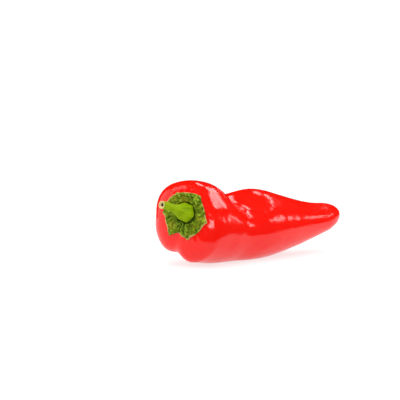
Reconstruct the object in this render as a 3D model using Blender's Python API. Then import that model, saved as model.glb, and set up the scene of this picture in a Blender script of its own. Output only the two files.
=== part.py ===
"""A long sweet red pepper, lying on its belly: fruit, calyx and stem.

Metres, +Z up. The pepper lies along +X with its stem end at -X, on the plane z = 0.
Round the fruit, angles run from the top (0) over the front (90) and the belly (180) to the back (270).
"""
import bpy
from math import cos, exp, pi, radians, sin, sqrt
from mathutils import Vector

# Size and place of the fruit.
LENGTH = 0.1606           # stem end to tip, along X
RADIUS = 0.0286           # of the body, between the lobes
START_X = -0.0697         # where the stem end's face stands on X
START_Y = 0.0071          # the middle of the belly on Y

# Outline from the stem end (0) to the tip (1).
SHOULDER = 0.0149         # length of the rounding at the stem end
SHOULDER_POWER = 2.2
TAPER_FROM = 0.39
NOSE = 0.37               # girth of the nose, against the body
TIP_CAP = 0.105           # the round tip's share of the length

# The line that the body follows.
BELLY_HEIGHT = 0.0214
BEND = 0.0257             # how far the stem end turns to the front
BEND_POWER = 5.0
STEM_RISE = 0.0117        # how far the stem end lifts
STEM_RISE_POWER = 1.8
TIP_SWAY = 0.0014
TIP_RISE = 0.0087

# The seat of the calyx, a dish in the stem end.
SEAT_UP = 0.0072
SEAT_FRONT = 0.0028
SEAT_DEPTH = 0.0052
SEAT_RADIUS = 0.0139

# Furrows between the lobes: angle at the stem end, turn towards the belly, depth, width in degrees.
FURROWS = [
    (203, -20, 0.163, 15.2),
    (50, 0, 0.050, 16),
    (276, 0, 0.031, 16),
]
FURROW_RUN = (0.05, 0.80)
FURROW_FADE = 0.9
FURROW_TURN_END = 0.4

# Swellings: place along the fruit, angle, length, width in degrees, height.
SWELLINGS = [
    (0.119, -8.7, 0.120, 43, 0.0020),     # hump over the stem end
    (0.322, 17.4, 0.091, 45, -0.0121),    # saddle behind the hump
    (0.050, 314, 0.070, 26, 0.0026),      # back shoulder
    (0.210, 180, 0.120, 36, 0.0016),      # belly under the shoulder
    (0.065, 79, 0.050, 48, -0.0024),      # flattened front shoulder
    (0.250, 108, 0.080, 36, 0.0012),      # flank behind it
]

# Calyx: six teeth, each with its angle and its length from the middle.
TEETH = [(38, 0.0186), (104, 0.0174), (172, 0.0174), (220, 0.0188), (286, 0.0182), (335, 0.0166)]
TOOTH_CUT = 0.17          # how deep the rim cuts in between two teeth
CALYX_THICK = 0.0019
RIM_THICK = 0.0009
GAP = 0.0004              # between a piece and the one it sits on

# Stem: radius at each length along it.
STEM_LENGTH = 0.0275
STEM_DIRECTION = Vector((-0.889, -0.373, 0.264))
STEM_END_DIRECTION = Vector((-0.919, -0.369, 0.141))
STEM_PROFILE = [(0.0, 0.0066), (0.003, 0.0068), (0.014, 0.0041), (0.0225, 0.0029), (0.0275, 0.0031)]

# Mesh fineness.
AROUND = 72
ALONG = 46
CALYX_AROUND = 72
CALYX_RINGS = 7
STEM_AROUND = 24
STEM_RINGS = 14


def clear_scene():
    for item in list(bpy.data.objects):
        bpy.data.objects.remove(item, do_unlink=True)


def clamp(value, low=0.0, high=1.0):
    return min(max(value, low), high)


def ease(low, high, value):
    """0 below low, 1 above high, and a smooth step between."""
    t = clamp((value - low) / (high - low))
    return t * t * (3 - 2 * t)


def window(angle, centre, width):
    """1 at the centre angle, falling off round the fruit over the width in degrees."""
    return exp((cos(angle - radians(centre)) - 1) * 2 / radians(width) ** 2)


def dome(t):
    """The rounding of the stem end: 0 on the face's middle, 1 where the body begins."""
    s = clamp(t * LENGTH / SHOULDER)
    return (1 - (1 - s) ** SHOULDER_POWER) ** (1 / SHOULDER_POWER)


def dome_place(share):
    """How far along the fruit the dome reaches this share of the body's radius."""
    return SHOULDER / LENGTH * (1 - (1 - share ** SHOULDER_POWER) ** (1 / SHOULDER_POWER))


def plain_radius(t):
    taper = 1 - (1 - NOSE) * ease(TAPER_FROM, 1.0, t)
    cap = clamp((t - 1 + TIP_CAP) / TIP_CAP)
    return RADIUS * dome(t) * taper * sqrt(1 - cap * cap)


def fruit_radius(t, angle):
    plain = plain_radius(t)
    radius = plain
    fade = 1 - FURROW_FADE * ease(*FURROW_RUN, t)
    for start, turn, depth, width in FURROWS:
        here = start + turn * ease(0, FURROW_TURN_END, t)
        radius *= 1 - depth * fade * window(angle, here, width)
    for place, centre, length, width, height in SWELLINGS:
        bump = exp(-((t - place) / length) ** 2) * window(angle, centre, width)
        radius += height * bump * plain / RADIUS
    return radius


def spine(t):
    """The body's middle line, and its axis, side and up directions."""
    place = Vector((
        START_X + LENGTH * t,
        START_Y - BEND * (1 - t) ** BEND_POWER + TIP_SWAY * t ** 4,
        BELLY_HEIGHT + STEM_RISE * (1 - t) ** STEM_RISE_POWER + TIP_RISE * t ** 5,
    ))
    axis = Vector((
        LENGTH,
        BEND * BEND_POWER * (1 - t) ** (BEND_POWER - 1) + 4 * TIP_SWAY * t ** 3,
        5 * TIP_RISE * t ** 4 - STEM_RISE * STEM_RISE_POWER * (1 - t) ** (STEM_RISE_POWER - 1),
    )).normalized()
    side = Vector((-axis.y, axis.x, 0)).normalized()
    return place, axis, side, axis.cross(side)


def fruit_point(t, angle, lift=0.0):
    """A point of the skin, or one lifted off it along the axis at the stem end."""
    place, axis, side, up = spine(t)
    radius = fruit_radius(t, angle)
    face = 1 - dome(t) ** 2
    near_end = 1 - clamp(t * LENGTH / SHOULDER)
    sink = SEAT_DEPTH * exp(-(radius / SEAT_RADIUS) ** 2) * near_end - lift
    point = place + axis * sink
    point += side * (-radius * sin(angle) - SEAT_FRONT * face)
    point += up * (radius * cos(angle) + SEAT_UP * face)
    point.z = max(point.z, 0.0)
    return point


def angles(count):
    return [2 * pi * i / count for i in range(count)]


def seat_ring(reach, count, lift):
    """A ring over the calyx's seat; reach gives its distance from the middle at each angle."""
    return [fruit_point(dome_place(reach(a) / RADIUS), a, lift) for a in angles(count)]


def closed_body(name, start, rings, end, material):
    """A closed mesh from a start point through rings to an end point."""
    count = len(rings[0])
    points = [start] + [p for ring in rings for p in ring] + [end]
    last = len(points) - 1
    faces = []
    for i in range(count):
        j = (i + 1) % count
        faces.append((0, 1 + j, 1 + i))
        for k in range(len(rings) - 1):
            low, high = 1 + k * count, 1 + (k + 1) * count
            faces.append((low + i, low + j, high + j, high + i))
        low = 1 + (len(rings) - 1) * count
        faces.append((low + i, low + j, last))
    mesh = bpy.data.meshes.new(name)
    mesh.from_pydata(points, [], faces)
    mesh.update()
    mesh.shade_smooth()
    mesh.set_sharp_from_angle(angle=radians(45))
    mesh.materials.append(material)
    body = bpy.data.objects.new(name, mesh)
    bpy.context.scene.collection.objects.link(body)
    return body


def finish(name, colour, roughness):
    material = bpy.data.materials.new(name)
    material.use_nodes = True
    shader = material.node_tree.nodes["Principled BSDF"]
    shader.inputs["Base Color"].default_value = (*colour, 1)
    shader.inputs["Roughness"].default_value = roughness
    shader.inputs["Metallic"].default_value = 0.0
    return material


def make_fruit():
    steps = [0.5 - 0.5 * cos(pi * k / ALONG) for k in range(ALONG + 1)]
    rings = [[fruit_point(t, a) for a in angles(AROUND)] for t in steps[1:-1]]
    skin = finish("skin_red", (0.80, 0.010, 0.003), 0.18)
    return closed_body("fruit", fruit_point(0, 0), rings, fruit_point(1, 0), skin)


def rim_reach(angle):
    """How far the calyx reaches: long at a tooth, cut in between two of them."""
    turn = 2 * pi
    for (low, low_length), (high, high_length) in zip(TEETH, TEETH[1:] + TEETH[:1]):
        gap = radians(high - low) % turn
        share = (angle - radians(low)) % turn / gap
        if share <= 1:
            tooth = low_length + (high_length - low_length) * share
            return tooth * (1 - TOOTH_CUT * sin(pi * share) ** 0.8)


def make_calyx():
    shares = [(k + 1) / CALYX_RINGS for k in range(CALYX_RINGS)]
    under = [seat_ring(lambda a: rim_reach(a) * f, CALYX_AROUND, GAP) for f in shares]
    over = []
    for share in reversed(shares):
        thick = RIM_THICK + (CALYX_THICK - RIM_THICK) * (1 - share ** 2)
        over.append(seat_ring(lambda a: rim_reach(a) * share, CALYX_AROUND, GAP + thick))
    green = finish("calyx_green", (0.060, 0.180, 0.012), 0.50)
    top = fruit_point(0, 0, GAP + CALYX_THICK)
    rings = list(reversed(over)) + list(reversed(under))
    return closed_body("calyx", top, rings, fruit_point(0, 0, GAP), green)


def stem_radius(length):
    for (low, low_radius), (high, high_radius) in zip(STEM_PROFILE, STEM_PROFILE[1:]):
        if length <= high:
            return low_radius + (high_radius - low_radius) * ease(low, high, length)
    return STEM_PROFILE[-1][1]


def stem_path(t):
    """A point of the stem's middle line and its direction there, from a cubic curve."""
    _, axis, _, _ = spine(0)
    foot = fruit_point(0, 0, 2 * GAP + CALYX_THICK)
    tip = foot + STEM_LENGTH * STEM_DIRECTION.normalized()
    handle = STEM_LENGTH / 3
    a, b = foot, foot - axis * handle
    c, d = tip - STEM_END_DIRECTION.normalized() * handle, tip
    u = 1 - t
    point = a * u ** 3 + b * (3 * u * u * t) + c * (3 * u * t * t) + d * t ** 3
    along = (b - a) * (u * u) + (c - b) * (2 * u * t) + (d - c) * (t * t)
    return point, along.normalized()


def stem_ring(t, radius):
    point, along = stem_path(t)
    side = Vector((-along.y, along.x, 0)).normalized()
    up = side.cross(along)
    return [point + side * (radius * sin(a)) + up * (radius * cos(a)) for a in angles(STEM_AROUND)]


def make_stem():
    foot_radius = STEM_PROFILE[0][1]
    lift = 2 * GAP + CALYX_THICK
    foot = [seat_ring(lambda a: foot_radius * f, STEM_AROUND, lift) for f in (0.5, 1.0)]
    sides = []
    for k in range(1, STEM_RINGS + 1):
        t = (k + 0.6) / (STEM_RINGS + 0.6)
        sides.append(stem_ring(t, stem_radius(t * STEM_LENGTH)))
    lime = finish("stem_lime", (0.240, 0.400, 0.010), 0.45)
    return closed_body("stem", fruit_point(0, 0, lift), foot + sides, stem_path(1)[0], lime)


clear_scene()
make_fruit()
make_calyx()
make_stem()
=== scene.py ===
"""A long sweet red pepper on a pale floor: glossy skin, veined calyx and ribbed stem.

Metres, +Z up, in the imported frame. Round the fruit, angles run from the top (0) over the
front (90) and the belly (180) to the back (270). Along it, t runs from the stem end (0) to the tip (1).
"""

from math import acos, cos, exp, pi, radians, sin

import bpy
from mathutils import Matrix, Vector


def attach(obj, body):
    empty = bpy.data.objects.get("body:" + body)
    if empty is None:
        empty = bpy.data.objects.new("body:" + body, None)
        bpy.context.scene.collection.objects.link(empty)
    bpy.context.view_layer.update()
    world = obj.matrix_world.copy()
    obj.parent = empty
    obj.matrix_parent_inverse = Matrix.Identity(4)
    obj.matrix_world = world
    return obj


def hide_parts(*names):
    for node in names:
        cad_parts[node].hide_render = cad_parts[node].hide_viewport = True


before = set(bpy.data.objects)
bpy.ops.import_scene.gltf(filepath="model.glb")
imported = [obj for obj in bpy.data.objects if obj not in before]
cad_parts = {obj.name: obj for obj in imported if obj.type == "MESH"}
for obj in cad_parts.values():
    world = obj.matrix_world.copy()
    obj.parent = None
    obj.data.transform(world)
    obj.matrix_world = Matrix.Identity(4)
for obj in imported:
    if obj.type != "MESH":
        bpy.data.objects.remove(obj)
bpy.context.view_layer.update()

# Fruit: the body's sizes and the line that it follows.
FRUIT = {
    "Length": 0.1606,
    "Radius": 0.0286,
    "Shoulder": 0.0149,
    "Nose": 0.37,
    "Tip Cap": 0.105,
    "Belly Height": 0.0214,
    "Bend": 0.0257,
    "Stem Rise": 0.0117,
    "Tip Rise": 0.0087,
    "Seat Depth": 0.0052,
}
START_X = -0.0697
START_Y = 0.0071
SHOULDER_POWER = 2.2
TAPER_FROM = 0.39
BEND_POWER = 5.0
STEM_RISE_POWER = 1.8
TIP_SWAY = 0.0014
SEAT_UP = 0.0072
SEAT_FRONT = 0.0028
SEAT_RADIUS = 0.0139

# Furrows between the lobes: angle at the stem end, turn towards the belly, depth, width in degrees.
FURROWS = [(203, -20, 0.163, 15.2), (50, 0, 0.050, 16), (276, 0, 0.031, 16)]
FURROW_RUN = (0.05, 0.80)
FURROW_FADE = 0.9
FURROW_TURN_END = 0.4

# Swellings: place along the fruit, angle, length, width in degrees, height.
SWELLINGS = [
    (0.119, -8.7, 0.120, 43, 0.0020),
    (0.322, 17.4, 0.091, 45, -0.0121),
    (0.050, 314, 0.070, 26, 0.0026),
    (0.210, 180, 0.120, 36, 0.0016),
    (0.065, 79, 0.050, 48, -0.0024),
    (0.250, 108, 0.080, 36, 0.0012),
]

# Skin detail that the fine surface adds.
SKIN = {
    "Crease Depth": 0.0009,
    "Dent Height": 0.0005,
    "Grain Height": 0.00005,
    "Pucker Height": 0.0004,
    "Scar Depth": 0.0005,
}
CREASE_FROM = 0.165
CREASE_SWEEP = 0.145
CREASE_ANGLES = (30, 71)
CREASE_WIDTH = 0.0014
CREASE_FADE_IN = (14, 32)     # degrees
CREASE_FADE_OUT = (58, 84)
DENT_STRETCH = 5.0            # dents and grain: how finely the noise changes along the fruit
DENT_SCALE = 1.6
GRAIN_ROUND = 4.0
GRAIN_STRETCH = 3.0
GRAIN_SCALE = 1.6
PUCKER_COUNT = 23.0           # folds round the stem end
PUCKER_PLACE = 0.012
PUCKER_LENGTH = 0.012
SCAR_LENGTH = 0.0012
SKIN_AROUND = 241
SKIN_ALONG = 401

# Soft ridges behind the shoulder: from t and angle, to t and angle, width, height.
RIDGES = [
    (0.338, -4, 0.315, 68, 0.0022, 0.00012),
    (0.368, 14, 0.398, 56, 0.0018, 0.00022),
    (0.400, 52, 0.437, 80, 0.0018, 0.00022),
    (0.478, 50, 0.562, 78, 0.0024, 0.00030),
]
RIDGE_FADE_IN = (-0.15, 0.2)  # share of the ridge's own run
RIDGE_FADE_OUT = (0.8, 1.15)

# Calyx: six teeth, each with its angle and its length from the middle.
TEETH = [(37, 0.0200), (102, 0.0183), (170, 0.0174), (220, 0.0190), (277, 0.0181), (337, 0.0169)]
CALYX = {
    "Thickness": 0.0019,
    "Rim Thickness": 0.0007,
    "Vein Height": 0.0008,
    "Wart Height": 0.0011,
    "Curl": 0.0004,
    "Trench": 0.0010,
}
TOOTH_HALF = 0.60
TOOTH_SLOPE = 0.78
TRENCH_PLACE = 0.0073
TRENCH_WIDTH = 0.00045
UPPER_ROWS = 0.68         # share of the calyx's rows that lie on its upper side
ROW_CROWDING = 1.6        # how those rows crowd towards the rim
RIM_ROUNDING = 14.0       # power: the higher, the squarer the rim
RIM_RAGGEDNESS = 0.045
RIM_SCALE = 9.0
RIM_STEP = 0.001
LEAST_THICKNESS = 0.0003
RELIEF_FROM = (0.30, 0.50)
RELIEF_FULL = 1.3
CURL_FROM = 0.72
LONG_TOOTH = (0.0148, 0.0185)
DEGREES_IN_RADIAN = 57.3
VEIN_WIDTH = (13.0, 7.0)  # degrees at the middle, and how much less at the rim
SIDE_VEIN = 0.6
SIDE_VEIN_WIDTH = 0.7
VEIN_WANDER = 0.7
WANDER_SCALE = 160.0
WART_SCALE = 620.0
FOLD_ROUND = 3.4
FOLD_OUT = 1.6
FOLD_SCALE = 2.2
FOLD_SHARE = 0.9
CALYX_AROUND = 361
CALYX_ALONG = 141
GAP = 0.0004

# Stem: a flared foot, a neck and a cut end, on a curve that leaves the seat along the fruit's axis.
STEM = {
    "Length": 0.0275,
    "Neck Radius": 0.0027,
    "Foot Flare": 0.0041,
    "Rib Depth": 0.055,
    "Striation": 0.014,
    "Pith Depth": 0.0009,
}
STEM_DIRECTION = Vector((-0.889, -0.373, 0.264)).normalized()
STEM_END_DIRECTION = Vector((-0.919, -0.369, 0.141)).normalized()
STEM_FOOT_ROWS = 0.08     # share of the stem's rows under its foot
STEM_CUT_ROWS = 0.12      # share of its rows over its cut end
STEM_FLARE_RUN = (-0.05, 0.62)
STRIAE_ROUND = 5.0
STRIAE_ALONG = 1.2
STRIAE_SCALE = 1.7
STEM_RIB_COUNT = 6.0
STEM_RIB_TURN = 12        # degrees
STEM_RIB_FADE = (0.1, 0.75)
STEM_FOOT_ROUNDING = 0.14
STEM_FOOT_RUN = 0.05
CUT_RIM = (0.85, 0.12)    # place and width of the raised rim, from the middle of the cut
CUT_RIM_HEIGHT = 0.25
CUT_DISH = (0.75, 0.15)   # from its edge to where it is deepest
STEM_AROUND = 181
STEM_ALONG = 161

# Colours.
RED = (0.84, 0.0050, 0.0002, 1)
DEEP_RED = (0.70, 0.0010, 0.0001, 1)
PORE_RED = (0.88, 0.02, 0.002, 1)
SCAR_BROWN = (0.10, 0.03, 0.01, 1)
# Painted shade: the calyx's green darkened in its hollows and in the trench round the stem's foot.
LEAF_HOLLOW_SHADE = (0.012, 0.046, 0.0008, 1)
LEAF_GREEN = (0.170, 0.245, 0.006, 1)
LEAF_OLIVE = (0.190, 0.175, 0.006, 1)
# Paler green of the veins, which the calyx has, and also painted light on its raised bumps.
VEIN_AND_LIT_GREEN = (0.340, 0.480, 0.035, 1)
DRY_TAN = (0.480, 0.400, 0.130, 1)
STALK_GREEN = (0.130, 0.235, 0.0006, 1)
STALK_LIME = (0.262, 0.405, 0.0008, 1)
STALK_PATCH = (0.295, 0.440, 0.0015, 1)
STALK_FLECK = (0.37, 0.49, 0.02, 1)
PITH_BROWN = (0.070, 0.040, 0.012, 1)
PITH_CREAM = (0.620, 0.500, 0.220, 1)

# Camera and light.
CAMERA_TARGET = Vector((-0.0389, 0.0071, 0.0456))
CAMERA_TURN = -30
CAMERA_RISE = 5
CAMERA_DISTANCE = 0.70
CAMERA_LENS = 85
CAMERA_SENSOR = 36
AMBIENT = 1.08

# Floor: a white table that ends just in front of the pepper and glows faintly, so it matches the backdrop.
FLOOR_FRONT = -0.054
FLOOR_BACK = 0.60
FLOOR_WIDTH = 1.20
FLOOR_SHADE = 0.31
FLOOR_GLOW = 0.70

# Softboxes: name, shape, what it faces, turn and rise of its direction, distance, width and height,
# radiance, and whether its light shapes the matt surface, shows in the gloss, or both.
KNOB = (-0.055, -0.018, 0.055)
KNOB_FRONT = (-0.045, -0.030, 0.040)
SADDLE = (-0.020, -0.005, 0.050)
BODY = (0.010, 0.0, 0.040)
SOFTBOXES = [
    ("side_box", "ELLIPSE", KNOB, 86, 34.5, 0.40, (0.160, 0.056), 6.0, "both"),
    ("side_box_dim", "ELLIPSE", KNOB, 110, 36, 0.40, (0.130, 0.066), 5.2, "both"),
    ("saddle_box", "ELLIPSE", SADDLE, 136, 49.5, 0.35, (0.092, 0.094), 4.2, "both"),
    ("front_box", "ELLIPSE", BODY, 56, 9.0, 0.39, (0.080, 0.072), 6.6, "both"),
    ("front_box_far", "ELLIPSE", BODY, 69, 12, 0.39, (0.042, 0.066), 5.6, "both"),
    ("left_box", "RECTANGLE", KNOB, -125, 55, 0.80, (0.430, 0.350), 2.0, "both"),
    ("back_wall", "RECTANGLE", BODY, -125, 10, 1.20, (1.400, 1.200), 1.1, "both"),
    ("top_fill", "RECTANGLE", BODY, -60, 70, 1.50, (1.500, 1.500), 1.5, "matt"),
    ("low_box", "RECTANGLE", KNOB_FRONT, -17, -4, 0.20, (0.140, 0.046), 9.0, "gloss"),
]


class Wire:
    """A node's output that plain arithmetic can be written with."""

    def __init__(self, bench, socket):
        self.bench = bench
        self.socket = socket

    def __add__(self, other):
        return self.bench.math("ADD", self, other)

    def __radd__(self, other):
        return self.bench.math("ADD", other, self)

    def __sub__(self, other):
        return self.bench.math("SUBTRACT", self, other)

    def __rsub__(self, other):
        return self.bench.math("SUBTRACT", other, self)

    def __mul__(self, other):
        return self.bench.math("MULTIPLY", self, other)

    def __rmul__(self, other):
        return self.bench.math("MULTIPLY", other, self)

    def __truediv__(self, other):
        return self.bench.math("DIVIDE", self, other)

    def __rtruediv__(self, other):
        return self.bench.math("DIVIDE", other, self)

    def __pow__(self, other):
        return self.bench.math("POWER", self, other)


class Bench:
    """A node tree, with one way to add any node to it."""

    def __init__(self, tree):
        self.tree = tree

    def node(self, kind, settings=None, inputs=None, output=0):
        """Adds a node: its settings first, then its sockets' values or links. Gives an output."""
        node = self.tree.nodes.new(kind)
        for name, value in (settings or {}).items():
            setattr(node, name, value)
        for key, value in (inputs or {}).items():
            if isinstance(value, Wire):
                self.tree.links.new(value.socket, node.inputs[key])
            else:
                node.inputs[key].default_value = value
        return Wire(self, node.outputs[output]) if node.outputs else node

    def math(self, operation, *values):
        return self.node("ShaderNodeMath", {"operation": operation}, dict(enumerate(values)))

    def vector(self, x, y, z):
        return self.node("ShaderNodeCombineXYZ", inputs={"X": x, "Y": y, "Z": z})

    def parts(self, vector):
        node = self.node("ShaderNodeSeparateXYZ", inputs={0: vector}).socket.node
        return [Wire(self, socket) for socket in node.outputs]


def worked(operation, plain, *values):
    """A Math node where a value is a wire, or the plain function where all are numbers."""
    for value in values:
        if isinstance(value, Wire):
            return value.bench.math(operation, *values)
    return plain(*values)


def sine(x):
    return worked("SINE", sin, x)


def cosine(x):
    return worked("COSINE", cos, x)


def exponent(x):
    return worked("EXPONENT", exp, x)


def least(x, y):
    return worked("MINIMUM", min, x, y)


def most(x, y):
    return worked("MAXIMUM", max, x, y)


def clamp(x):
    return least(most(x, 0.0), 1.0)


def ease(low, high, x):
    """0 below low, 1 above high, and a smooth step between."""
    t = clamp((x - low) / (high - low))
    return t * t * (3.0 - 2.0 * t)


def bell(x):
    return exponent(-1.0 * (x * x))


def window(angle, centre, width):
    """1 at the centre angle, falling off round the fruit over the width in degrees."""
    sharpness = 2.0 / radians(width) ** 2
    return exponent((cosine(angle - centre) - 1.0) * sharpness)


def unit(x, y, z):
    size = (x * x + y * y + z * z) ** 0.5
    return x / size, y / size, z / size


# The fruit's shape, for plain numbers and for wires alike.

def dome(t, size):
    """The rounding of the stem end: 0 on the face's middle, 1 where the body begins."""
    s = clamp(t * size["Length"] / size["Shoulder"])
    return (1.0 - (1.0 - s) ** SHOULDER_POWER) ** (1 / SHOULDER_POWER), s


def dome_place(share, size):
    """How far along the fruit the dome reaches this share of the body's radius."""
    rounding = (1.0 - share ** SHOULDER_POWER) ** (1 / SHOULDER_POWER)
    return (1.0 - rounding) * size["Shoulder"] / size["Length"]


def fruit_radius(t, angle, size, detail):
    roundness, _ = dome(t, size)
    taper = 1.0 - (1.0 - size["Nose"]) * ease(TAPER_FROM, 1.0, t)
    cap = clamp((t - 1.0 + size["Tip Cap"]) / size["Tip Cap"])
    share = roundness * taper * (1.0 - cap * cap) ** 0.5
    radius = share * size["Radius"]
    fade = 1.0 - FURROW_FADE * ease(*FURROW_RUN, t)
    turning = ease(0.0, FURROW_TURN_END, t)
    for start, turn, depth, width in FURROWS:
        centre = turning * radians(turn) + radians(start)
        radius = radius * (1.0 - depth * fade * window(angle, centre, width))
    for place, centre, length, width, height in SWELLINGS:
        swelling = bell((t - place) / length) * window(angle, radians(centre), width)
        radius = radius + height * swelling * share
    return radius + detail * share


def spine(t, size):
    """The body's middle line, and its axis, side and up directions."""
    s = 1.0 - t
    place = (
        START_X + size["Length"] * t,
        START_Y - size["Bend"] * s ** BEND_POWER + TIP_SWAY * t ** 4.0,
        size["Belly Height"] + size["Stem Rise"] * s ** STEM_RISE_POWER + size["Tip Rise"] * t ** 5.0,
    )
    x, y, z = unit(
        size["Length"],
        size["Bend"] * BEND_POWER * s ** (BEND_POWER - 1) + 4 * TIP_SWAY * t ** 3.0,
        size["Tip Rise"] * 5.0 * t ** 4.0
        - size["Stem Rise"] * STEM_RISE_POWER * s ** (STEM_RISE_POWER - 1),
    )
    flat = (x * x + y * y) ** 0.5
    side = (-1.0 * y / flat, x / flat, 0.0)
    up = (-1.0 * z * side[1], z * side[0], x * side[1] - y * side[0])
    return place, (x, y, z), side, up


def fruit_point(t, angle, size, lift=0.0, detail=0.0):
    """A point of the skin, or one lifted off it along the axis at the stem end."""
    place, axis, side, up = spine(t, size)
    radius = fruit_radius(t, angle, size, detail)
    roundness, s = dome(t, size)
    face = 1.0 - roundness * roundness
    sink = size["Seat Depth"] * bell(radius / SEAT_RADIUS) * (1.0 - s) - lift
    across = -1.0 * radius * sine(angle) - SEAT_FRONT * face
    rise = radius * cosine(angle) + SEAT_UP * face
    x, y, z = (p + a * sink + b * across + c * rise for p, a, b, c in zip(place, axis, side, up))
    return x, y, most(z, 0.0)


# Geometry trees.

def shape_tree(name, sizes):
    """A new geometry tree with a named input for each size, and those inputs as wires."""
    tree = bpy.data.node_groups.new(name, "GeometryNodeTree")
    tree.interface.new_socket("Geometry", in_out="OUTPUT", socket_type="NodeSocketGeometry")
    for label, value in sizes.items():
        kind = "NodeSocketInt" if isinstance(value, int) else "NodeSocketFloat"
        tree.interface.new_socket(label, in_out="INPUT", socket_type=kind).default_value = value
    bench = Bench(tree)
    bench.node("NodeGroupInput")
    inputs = tree.nodes[-1].outputs
    return bench, {label: Wire(bench, inputs[label]) for label in sizes}


def sheet_of_points(bench, size):
    """A grid of points, and its two running shares from 0 to 1: round and along."""
    counts = {"Size X": 1.0, "Size Y": 1.0, "Vertices X": size["Around"], "Vertices Y": size["Along"]}
    grid = bench.node("GeometryNodeMeshGrid", inputs=counts)
    x, y, _ = bench.parts(bench.node("GeometryNodeInputPosition"))
    return grid, x + 0.5, y + 0.5


def close_sheet(bench, grid, point, marks, material, merge=2e-6):
    """Moves the grid's points, keeps marks as attributes, closes seam and poles, sets the material."""
    shape = grid
    for label, value in marks.items():
        settings = {"data_type": "FLOAT_VECTOR", "domain": "POINT"}
        inputs = {"Geometry": shape, "Name": label, "Value": value}
        shape = bench.node("GeometryNodeStoreNamedAttribute", settings, inputs)
    place = bench.vector(*point)
    shape = bench.node("GeometryNodeSetPosition", inputs={"Geometry": shape, "Position": place})
    shape = bench.node("GeometryNodeMergeByDistance", inputs={"Geometry": shape, "Distance": merge})
    shape = bench.node("GeometryNodeSetShadeSmooth", inputs={"Geometry": shape})
    shape = bench.node("GeometryNodeRealizeInstances", inputs={"Geometry": shape})
    shape = bench.node("GeometryNodeSetMaterial", inputs={"Geometry": shape, "Material": material})
    bench.node("NodeGroupOutput", inputs={"Geometry": shape})


def made_by(bench, name, sizes):
    """Runs the tree once and gives its result as a plain mesh object, with its faces outward."""
    piece = bpy.data.objects.new(name, bpy.data.meshes.new(name))
    bpy.context.scene.collection.objects.link(piece)
    modifier = piece.modifiers.new("shape", "NODES")
    modifier.node_group = bench.tree
    for item in bench.tree.interface.items_tree:
        if item.in_out == "INPUT" and item.name in sizes:
            modifier[item.identifier] = sizes[item.name]
    graph = bpy.context.evaluated_depsgraph_get()
    mesh = bpy.data.meshes.new_from_object(piece.evaluated_get(graph))
    piece.modifiers.clear()
    piece.data = mesh
    mesh.name = name
    face_outward(mesh)
    return piece


def face_outward(mesh):
    """Turns every face round if the closed mesh is inside out."""
    volume = 0.0
    for triangle in mesh.loop_triangles:
        a, b, c = (mesh.vertices[i].co for i in triangle.vertices)
        volume += a.dot(b.cross(c))
    if volume < 0:
        mesh.flip_normals()


def noise(bench, vector, scale, detail=3.0, roughness=0.5):
    inputs = {"Vector": vector, "Scale": scale, "Detail": detail, "Roughness": roughness}
    return bench.node("ShaderNodeTexNoise", {"noise_dimensions": "3D"}, inputs)


def geometry_noise(bench, place, scale, detail=2.0, seed=0.0):
    """A soft noise about 0, of a place given as three wires."""
    x, y, z = place
    vector = bench.vector(x * scale, y * scale, z * scale + seed)
    return noise(bench, vector, 1.0, detail) - 0.5


def crease_distance(t, angle, size):
    """Distance along the fruit from the fold that sweeps over the front shoulder."""
    low, high = (radians(a) for a in CREASE_ANGLES)
    sweep = clamp((angle - low) / (high - low))
    return (t - CREASE_FROM - CREASE_SWEEP * sweep * sweep) * size["Length"]


def crease_reach(angle):
    """1 along the fold on the front shoulder, fading at its two ends."""
    fade_in = ease(*(radians(a) for a in CREASE_FADE_IN), angle)
    fade_out = ease(*(radians(a) for a in CREASE_FADE_OUT), angle)
    return fade_in * (1.0 - fade_out)


def ridge(t, angle, size, start, start_angle, end, end_angle, width, height):
    """A soft ridge along a line over the skin, fading at its two ends."""
    share = (angle - radians(start_angle)) / radians(end_angle - start_angle)
    away = (t - start - share * (end - start)) * size["Length"]
    height = height * bell(away / width) * ease(*RIDGE_FADE_IN, share)
    return height * (1.0 - ease(*RIDGE_FADE_OUT, share))


def skin_detail(bench, t, angle, size):
    """What the fine skin adds to the radius: fold, ridges, dents, grain, puckers and scar."""
    turned = angle - bench.math("GREATER_THAN", angle, pi) * (2 * pi)
    fold = -1.0 * size["Crease Depth"] * bell(crease_distance(t, turned, size) / CREASE_WIDTH)
    ridges = sum((ridge(t, turned, size, *line) for line in RIDGES), 0.0)
    c, d = cosine(angle), sine(angle)
    dents = geometry_noise(bench, (c, d, t * DENT_STRETCH), DENT_SCALE) * size["Dent Height"] * 2.0
    grain = geometry_noise(bench, (c * GRAIN_ROUND, d * GRAIN_ROUND, t * GRAIN_STRETCH), GRAIN_SCALE)
    grain = grain * size["Grain Height"] * 2.0
    waves = cosine(angle * PUCKER_COUNT)
    pucker = size["Pucker Height"] * waves * bell((t - PUCKER_PLACE) / PUCKER_LENGTH)
    scar = -1.0 * size["Scar Depth"] * bell((t - 1.0) / SCAR_LENGTH)
    return fold * crease_reach(turned) + ridges + dents + grain + pucker + scar


def make_fruit_skin(material):
    sizes = {**FRUIT, **SKIN, "Around": SKIN_AROUND, "Along": SKIN_ALONG}
    bench, size = shape_tree("fruit_skin", sizes)
    grid, round_share, along_share = sheet_of_points(bench, size)
    angle = round_share * (2 * pi)
    t = 0.5 - 0.5 * cosine(along_share * pi)
    detail = skin_detail(bench, t, angle, size)
    point = fruit_point(t, angle, size, detail=detail)
    marks = {"skin_place": bench.vector(cosine(angle), sine(angle), t)}
    close_sheet(bench, grid, point, marks, material)
    return made_by(bench, "fruit_skin", sizes)


def tooth_gap(angle, centre):
    """The plain angle between a direction and a tooth, from 0 to pi."""
    return worked("ARCCOSINE", acos, cosine(angle - centre))


def rim_reach(angle):
    """How far the calyx reaches: long at a tooth, cut in between two of them."""
    reach = 0.0
    for centre, length in TEETH:
        away = least(tooth_gap(angle, radians(centre)), TOOTH_HALF)
        reach = most(reach, length / (cosine(away) + TOOTH_SLOPE * sine(away)))
    return reach


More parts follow.
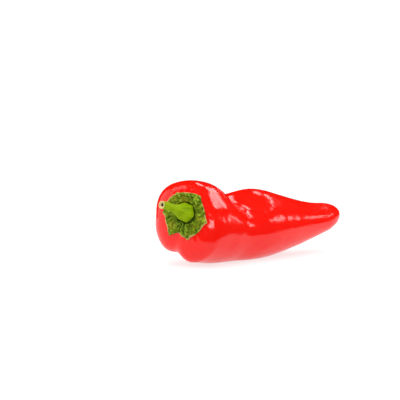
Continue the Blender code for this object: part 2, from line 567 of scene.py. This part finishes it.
def vein_pattern(angle, share):
    """1 on the ribs that run to the teeth and, fainter, on those between them."""
    veins = 0.0
    for number, (centre, _) in enumerate(TEETH):
        width = VEIN_WIDTH[0] - VEIN_WIDTH[1] * share
        after = TEETH[(number + 1) % len(TEETH)][0]
        middle = centre + ((after - centre) % 360) / 2
        main = tooth_gap(angle, radians(centre)) * DEGREES_IN_RADIAN
        side = tooth_gap(angle, radians(middle)) * DEGREES_IN_RADIAN
        veins = most(veins, bell(main / width))
        veins = most(veins, SIDE_VEIN * bell(side / (width * SIDE_VEIN_WIDTH)))
    return veins


def make_calyx(material):
    sizes = {**CALYX, "Around": CALYX_AROUND, "Along": CALYX_ALONG}
    bench, size = shape_tree("calyx", sizes)
    grid, round_share, along_share = sheet_of_points(bench, size)
    angle = round_share * (2 * pi)
    c, d = cosine(angle), sine(angle)
    across = clamp(along_share / UPPER_ROWS)
    back = clamp((along_share - UPPER_ROWS) / (1.0 - UPPER_ROWS))
    share = least(1.0 - (1.0 - across) ** ROW_CROWDING, 1.0 - back)
    ragged = geometry_noise(bench, (c, d, 0.0), RIM_SCALE, 4.0) * RIM_RAGGEDNESS
    reach = rim_reach(angle) * (1.0 + ragged) * share
    place = (reach * c, reach * d, 0.0)
    outer = ease(*RELIEF_FROM, share)
    wander = geometry_noise(bench, place, WANDER_SCALE, 2.0, 3.0) * VEIN_WANDER
    veins = vein_pattern(angle + wander, share) * outer
    warts = geometry_noise(bench, place, WART_SCALE, 3.0)
    fold_place = (c * FOLD_ROUND, d * FOLD_ROUND, share * FOLD_OUT)
    folds = geometry_noise(bench, fold_place, FOLD_SCALE, 3.0)
    rough = (warts + FOLD_SHARE * folds) * outer
    trench = bell((reach - TRENCH_PLACE) / TRENCH_WIDTH)
    plain = size["Rim Thickness"] + (size["Thickness"] - size["Rim Thickness"]) * (1.0 - share * share)
    ribs = size["Vein Height"] * veins * (RELIEF_FULL - share)
    relief = ribs + size["Wart Height"] * rough * (RELIEF_FULL - 0.9 * share)
    rounding = (1.0 - share ** RIM_ROUNDING) ** 0.5
    top = most(plain + relief - size["Trench"] * trench, LEAST_THICKNESS) * rounding
    curl = size["Curl"] * ease(CURL_FROM, 1.0, share) * ease(*LONG_TOOTH, rim_reach(angle))
    lift = curl + GAP + top * (1.0 - ease(0.0, RIM_STEP, back))
    point = fruit_point(dome_place(reach / FRUIT["Radius"], FRUIT), angle, FRUIT, lift=lift)
    # The third part is the calyx's relief, lowered in the trench round the stem's foot. The leaf's colour
    # paints shade in its low parts and light on its raised ones from it.
    marks = {"leaf_place": bench.vector(share, veins, rough - 0.5 * trench)}
    close_sheet(bench, grid, point, marks, material)
    return made_by(bench, "calyx_leaf", sizes)


def stem_curve():
    """The four control points of the stem's middle line."""
    _, axis, _, _ = spine(0.0, FRUIT)
    foot = Vector(fruit_point(0.0, 0.0, FRUIT, lift=2 * GAP + CALYX["Thickness"]))
    tip = foot + STEM["Length"] * STEM_DIRECTION
    handle = STEM["Length"] / 3
    return foot, foot - Vector(axis) * handle, tip - STEM_END_DIRECTION * handle, tip


def along_curve(a, b, c, d, t):
    """A point of the cubic curve and its direction there, each as three wires."""
    u = 1.0 - t
    weights = (u * u * u, 3.0 * u * u * t, 3.0 * u * t * t, t * t * t)
    slopes = (u * u, 2.0 * u * t, t * t)
    steps = (b - a, c - b, d - c)
    point = [sum((w * p[i] for w, p in zip(weights, (a, b, c, d))), 0.0) for i in range(3)]
    slope = [sum((w * p[i] for w, p in zip(slopes, steps)), 0.0) for i in range(3)]
    return point, unit(*slope)


def make_stem(material):
    sizes = {**STEM, "Around": STEM_AROUND, "Along": STEM_ALONG}
    bench, size = shape_tree("stem", sizes)
    grid, round_share, along_share = sheet_of_points(bench, size)
    angle = round_share * (2 * pi)
    c, d = cosine(angle), sine(angle)
    foot = clamp(along_share / STEM_FOOT_ROWS)
    cut = clamp((1.0 - along_share) / STEM_CUT_ROWS)
    w = clamp((along_share - STEM_FOOT_ROWS) / (1.0 - STEM_FOOT_ROWS - STEM_CUT_ROWS))
    striae_place = (c * STRIAE_ROUND, d * STRIAE_ROUND, w * STRIAE_ALONG)
    striae = geometry_noise(bench, striae_place, STRIAE_SCALE, 3.0)
    waves = cosine((angle - radians(STEM_RIB_TURN)) * STEM_RIB_COUNT)
    ribs = waves * size["Rib Depth"] * (1.0 - ease(*STEM_RIB_FADE, w))
    radius = size["Neck Radius"] + size["Foot Flare"] * (1.0 - ease(*STEM_FLARE_RUN, w))
    radius = radius * (1.0 + ribs + striae * size["Striation"] * 4.0)
    rim = 1.0 - (1.0 - clamp(w / STEM_FOOT_RUN)) ** 2.0
    radius = radius * (1.0 - STEM_FOOT_ROUNDING + STEM_FOOT_ROUNDING * rim ** 0.5)
    lip = CUT_RIM_HEIGHT * bell((cut - CUT_RIM[0]) / CUT_RIM[1]) - ease(*CUT_DISH, cut)
    place, (x, y, z) = along_curve(*stem_curve(), w)
    flat = (x * x + y * y) ** 0.5
    side = (-1.0 * y / flat, x / flat, 0.0)
    up = (-1.0 * z * side[1], z * side[0], x * side[1] - y * side[0])
    spread = radius * least(foot, cut) ** 0.7
    push = size["Pith Depth"] * lip * ease(0.995, 1.0, w)
    across, rise = spread * d, spread * c
    point = [p + s * across - u * rise + a * push for p, s, u, a in zip(place, side, up, (x, y, z))]
    marks = {"stalk_place": bench.vector(w, striae, cut)}
    close_sheet(bench, grid, point, marks, material)
    return made_by(bench, "stem_stalk", sizes)


# Materials.

def new_finish(name):
    """A material, its bench and the node of its surface."""
    material = bpy.data.materials.new(name)
    material.use_nodes = True
    tree = material.node_tree
    return material, Bench(tree), tree.nodes["Principled BSDF"]


def join(bench, shader, links):
    for label, value in links.items():
        if isinstance(value, Wire):
            bench.tree.links.new(value.socket, shader.inputs[label])
        else:
            shader.inputs[label].default_value = value


def mark(bench, name):
    """The three parts of a place that the geometry stored."""
    return bench.parts(bench.node("ShaderNodeAttribute", {"attribute_name": name}, output=1))


def blend(bench, factor, low, high):
    """A colour between two colours."""
    inputs = {0: factor, 6: low, 7: high}
    return bench.node("ShaderNodeMix", {"data_type": "RGBA"}, inputs, output=2)


def bump(bench, height, depth):
    return bench.node("ShaderNodeBump", inputs={"Strength": 1.0, "Distance": depth, "Height": height})


def object_place(bench):
    return bench.node("ShaderNodeTexCoord", output=3)


def red_skin():
    material, bench, shader = new_finish("red_skin")
    place = object_place(bench)
    c, s, t = mark(bench, "skin_place")
    mottle = noise(bench, place, 55.0)
    streak = noise(bench, bench.vector(c * 9.0, s * 9.0, t * 4.0), 1.0)
    pores = noise(bench, place, 1900.0, 1.0)
    shade = clamp(0.35 * (mottle - 0.35) + 0.5 * (streak - 0.35))
    colour = blend(bench, shade, RED, DEEP_RED)
    colour = blend(bench, ease(0.66, 0.80, pores) * 0.2, colour, PORE_RED)
    scar = bell((t - 1.0) / 0.0016)
    colour = blend(bench, scar, colour, SCAR_BROWN)
    gloss = 0.13 + 0.06 * mottle + 0.4 * scar
    relief = noise(bench, place, 260.0, 2.0) * 0.6 + noise(bench, place, 1300.0, 1.0) * 0.10
    join(bench, shader, {
        "Base Color": colour,
        "Roughness": gloss,
        "IOR": 1.45,
        "Subsurface Weight": 0.12,
        "Subsurface Radius": (0.6, 0.05, 0.02),
        "Subsurface Scale": 0.006,
        "Normal": bump(bench, relief, 0.00006),
    })
    return material


def green_leaf():
    material, bench, shader = new_finish("green_leaf")
    # rough is the relief, lowered in the trench. Below it drives painted shade in hollows and painted
    # light on raised bumps.
    share, veins, rough = mark(bench, "leaf_place")
    place = object_place(bench)
    grain = noise(bench, place, 520.0, 4.0)
    patch = noise(bench, place, 140.0, 2.0)
    # Painted shade: darker green where the relief is low, in the hollows and in the trench round the
    # stem's foot.
    painted_hollow_shade = blend(bench, clamp(0.55 + 2.6 * rough), LEAF_HOLLOW_SHADE, LEAF_GREEN)
    colour = blend(bench, ease(0.50, 0.66, patch) * 0.6, painted_hollow_shade, LEAF_OLIVE)
    # Paler on the veins and fine grain, which is the calyx's own colour, and on raised bumps, which is
    # painted light.
    pale = clamp(veins * 0.55 + 2.4 * (rough - 0.16) + 0.9 * (grain - 0.52))
    colour = blend(bench, pale, colour, VEIN_AND_LIT_GREEN)
    dry = ease(0.93, 0.985, share + 0.10 * (grain - 0.5)) * ease(0.40, 0.56, patch)
    colour = blend(bench, dry * 0.9, colour, DRY_TAN)
    join(bench, shader, {
        "Base Color": colour,
        "Roughness": 0.50 + 0.25 * grain,
        "Specular IOR Level": 0.06,
        "Normal": bump(bench, grain, 0.0007),
    })
    return material


def lime_stalk():
    material, bench, shader = new_finish("lime_stalk")
    w, striae, cut = mark(bench, "stalk_place")
    place = object_place(bench)
    grain = noise(bench, place, 900.0, 4.0)
    patch = noise(bench, place, 120.0, 2.0)
    colour = blend(bench, clamp(0.5 + 2.4 * striae), STALK_GREEN, STALK_LIME)
    colour = blend(bench, ease(0.40, 0.62, patch) * 0.5, colour, STALK_PATCH)
    colour = blend(bench, ease(0.60, 0.78, grain) * 0.3, colour, STALK_FLECK)
    wood = 1.0 - ease(0.97, 0.995, cut)
    pith = blend(bench, ease(0.14, 0.44, cut), PITH_BROWN, PITH_CREAM)
    colour = blend(bench, wood * ease(0.99, 1.0, w), colour, pith)
    join(bench, shader, {
        "Base Color": colour,
        "Roughness": 0.42 + 0.2 * grain,
        "Specular IOR Level": 0.05,
        "Normal": bump(bench, striae + grain * 0.4, 0.0004),
    })
    return material


def pale_floor():
    """A matt white, faintly clouded, with a glow of its own."""
    material, bench, shader = new_finish("pale_floor")
    cloud = noise(bench, object_place(bench), 40.0)
    low = FLOOR_SHADE * 0.96
    colour = blend(bench, cloud, (FLOOR_SHADE, FLOOR_SHADE, FLOOR_SHADE, 1), (low, low, low, 1))
    join(bench, shader, {
        "Base Color": colour,
        "Roughness": 0.6,
        "Specular IOR Level": 0.0,
        "Emission Color": (1, 1, 1, 1),
        "Emission Strength": FLOOR_GLOW,
    })
    return material


# Stage.

def direction(turn, rise):
    """The direction out from the middle: turn 0 is to the front (-Y), 90 to the tip (+X)."""
    a, e = radians(turn), radians(rise)
    return Vector((sin(a) * cos(e), -cos(a) * cos(e), sin(e)))


def make_floor():
    side = FLOOR_WIDTH / 2
    back = [(side, FLOOR_BACK, 0), (-side, FLOOR_BACK, 0)]
    front = [(-side, FLOOR_FRONT, 0), (side, FLOOR_FRONT, 0)]
    mesh = bpy.data.meshes.new("floor")
    mesh.from_pydata(back + front, [], [(0, 1, 2, 3)])
    mesh.materials.append(pale_floor())
    floor = bpy.data.objects.new("floor", mesh)
    bpy.context.scene.collection.objects.link(floor)


def softbox(name, shape, aim, turn, rise, distance, size, radiance, use):
    """An area light that faces the aim point from a direction, with an even radiance."""
    light = bpy.data.lights.new(name, "AREA")
    light.shape = shape
    light.size, light.size_y = size
    area = size[0] * size[1] * (pi / 4 if shape == "ELLIPSE" else 1.0)
    light.energy = radiance * pi * area
    lamp = bpy.data.objects.new(name, light)
    lamp.location = Vector(aim) + direction(turn, rise) * distance
    lamp.rotation_euler = direction(turn, rise).to_track_quat("Z", "Y").to_euler()
    lamp.visible_camera = False
    lamp.visible_diffuse = use != "gloss"
    lamp.visible_glossy = use != "matt"
    bpy.context.scene.collection.objects.link(lamp)


def make_lights():
    for box in SOFTBOXES:
        softbox(*box)
    world = bpy.data.worlds.new("studio")
    bpy.context.scene.world = world
    world.use_nodes = True
    world.node_tree.nodes["Background"].inputs["Color"].default_value = (1, 1, 1, 1)
    world.node_tree.nodes["Background"].inputs["Strength"].default_value = AMBIENT
    world.cycles_visibility.glossy = False


def make_camera():
    camera = bpy.data.cameras.new("camera")
    camera.lens = CAMERA_LENS
    camera.sensor_width = CAMERA_SENSOR
    holder = bpy.data.objects.new("camera", camera)
    back = direction(CAMERA_TURN, CAMERA_RISE)
    holder.location = CAMERA_TARGET + back * CAMERA_DISTANCE
    holder.rotation_euler = back.to_track_quat("Z", "Y").to_euler()
    bpy.context.scene.collection.objects.link(holder)
    bpy.context.scene.camera = holder


def place_piece(piece, node):
    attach(piece, "root")
    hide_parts(node)


place_piece(make_fruit_skin(red_skin()), "fruit")
place_piece(make_calyx(green_leaf()), "calyx")
place_piece(make_stem(lime_stalk()), "stem")
make_floor()
make_lights()
make_camera()
bpy.context.scene.view_settings.view_transform = "Standard"
